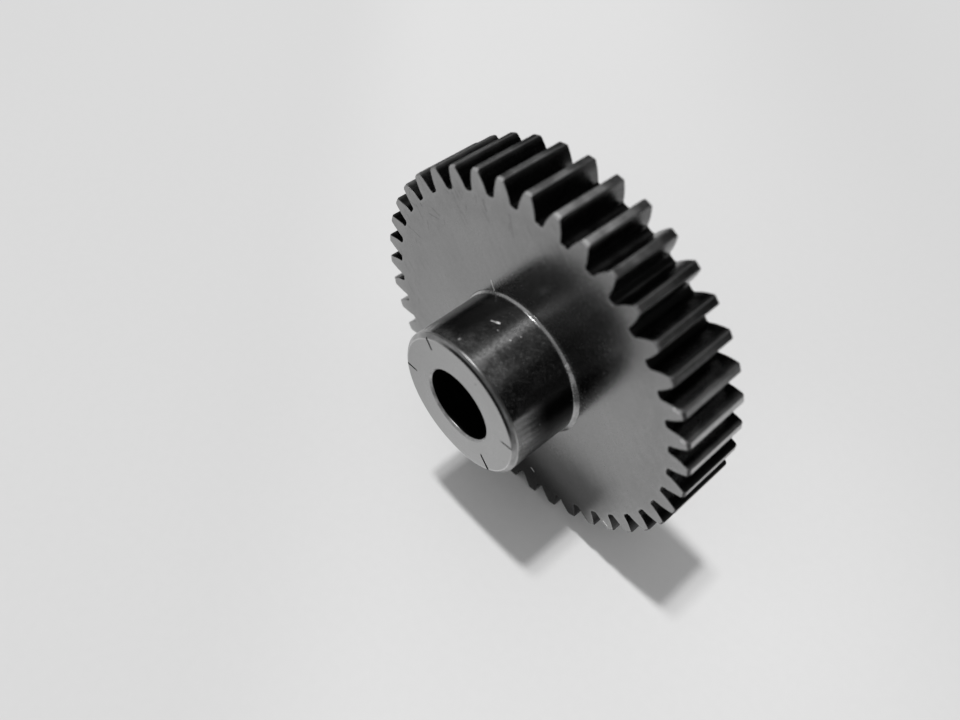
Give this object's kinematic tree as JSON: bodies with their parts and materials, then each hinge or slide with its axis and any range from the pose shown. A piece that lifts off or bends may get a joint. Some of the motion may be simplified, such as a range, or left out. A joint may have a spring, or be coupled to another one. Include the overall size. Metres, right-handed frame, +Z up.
{
  "type": "spur gear",
  "caption": "Straight-toothed spur gear with a plain round bore and a shouldered hub pressed through it, projecting on one side.",
  "frame": {"origin": "on the bore's axis, half way between the hub's end face and the wheel's back face, which is the centre of the bounding box", "axes": "+Y along the bore from the hub's end face to the wheel's back face, +Z up with the gear standing on two teeth, +X to the right seen from the hub's side"},
  "size_m": [0.042, 0.016, 0.042],
  "materials": {
    "wheel_steel": "dark oiled steel, ground end faces, hobbed tooth flanks",
    "hub_steel": "dark oiled steel, fine turned surface"
  },
  "bodies": {
    "root": {"toothed_wheel": "wheel_steel", "hub": "hub_steel"}
  },
  "joints": []
}
